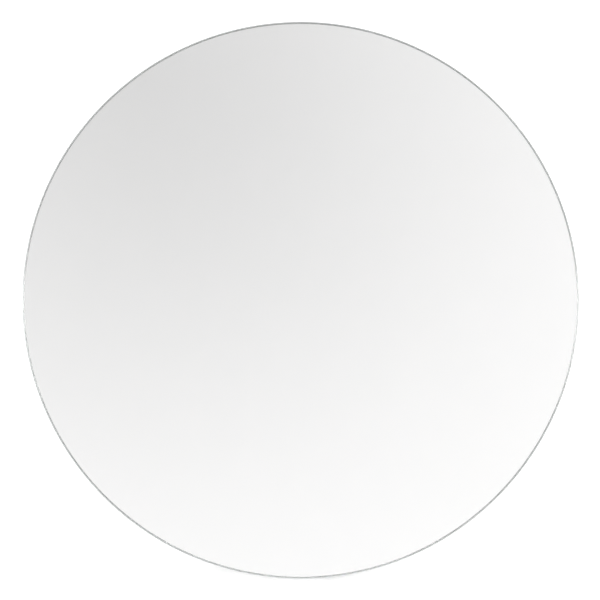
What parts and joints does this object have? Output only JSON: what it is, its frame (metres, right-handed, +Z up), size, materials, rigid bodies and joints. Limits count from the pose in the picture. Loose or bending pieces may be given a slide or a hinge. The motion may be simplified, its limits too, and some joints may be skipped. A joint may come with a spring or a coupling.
{
  "type": "countertop mirror",
  "caption": "Frameless round countertop mirror, leaning back on heel feet and a fold-out easel leg held open by a sliding stay.",
  "frame": {"origin": "on the counter, under the middle of the object's box", "axes": "+X to the viewer's right, +Y away from the viewer to the rear, +Z up"},
  "size_m": [0.3, 0.1176, 0.2842],
  "materials": {
    "glass": "clear float glass with a polished edge",
    "silver": "silvered",
    "backing_paint": "satin grey mirror backing paint",
    "foam_tape": "white closed-cell foam tape",
    "board": "black textured lacquer on fibreboard",
    "plated_steel": "satin nickel plate",
    "pin_steel": "bright drawn steel",
    "screw_steel": "bright zinc plate",
    "heel_plastic": "moulded black ABS, fine spark texture",
    "rubber": "matt black rubber",
    "nylon": "natural nylon",
    "felt": "dark grey wool felt"
  },
  "bodies": {
    "head": {"mirror_glass": "glass", "silver_coating": "silver", "backing_paint": "backing_paint", "foam_tape_strips": "foam_tape", "back_board": "board", "leg_rest_dots": "felt", "board_hinge_leaf": "plated_steel", "hinge_pin": "pin_steel", "hinge_leaf_screws": "screw_steel", "stay_bracket": "plated_steel", "stay_bracket_screws": "screw_steel", "stay_pivot_pin": "pin_steel", "stay_pivot_washers": "nylon", "left_heel_foot": "heel_plastic", "right_heel_foot": "heel_plastic", "left_heel_pad": "rubber", "right_heel_pad": "rubber", "heel_screws": "screw_steel"},
    "leg": {"easel_leg": "board", "leg_hinge_leaf": "plated_steel", "hinge_leaf_rivets": "pin_steel", "leg_foot": "rubber", "slide_guide": "plated_steel", "slide_guide_rivets": "pin_steel"},
    "stay": {"stay_arm": "plated_steel", "slide_pin": "pin_steel", "slide_washers": "nylon"}
  },
  "joints": [
    {"name": "leg_hinge", "type": "hinge", "parent": "head", "child": "leg", "pos_m": [0, 0.02279, 0.18341], "axis": [1, 0, 0], "range_deg": [-30, 0]},
    {"name": "stay_pivot", "type": "hinge", "parent": "head", "child": "stay", "pos_m": [0, -0.00115, 0.11763], "axis": [1, 0, 0], "range_deg": [-60, 0]}
  ],
  "couplings": [
    {"joint": "stay_pivot", "follows": "leg_hinge", "ratio": 2}
  ]
}
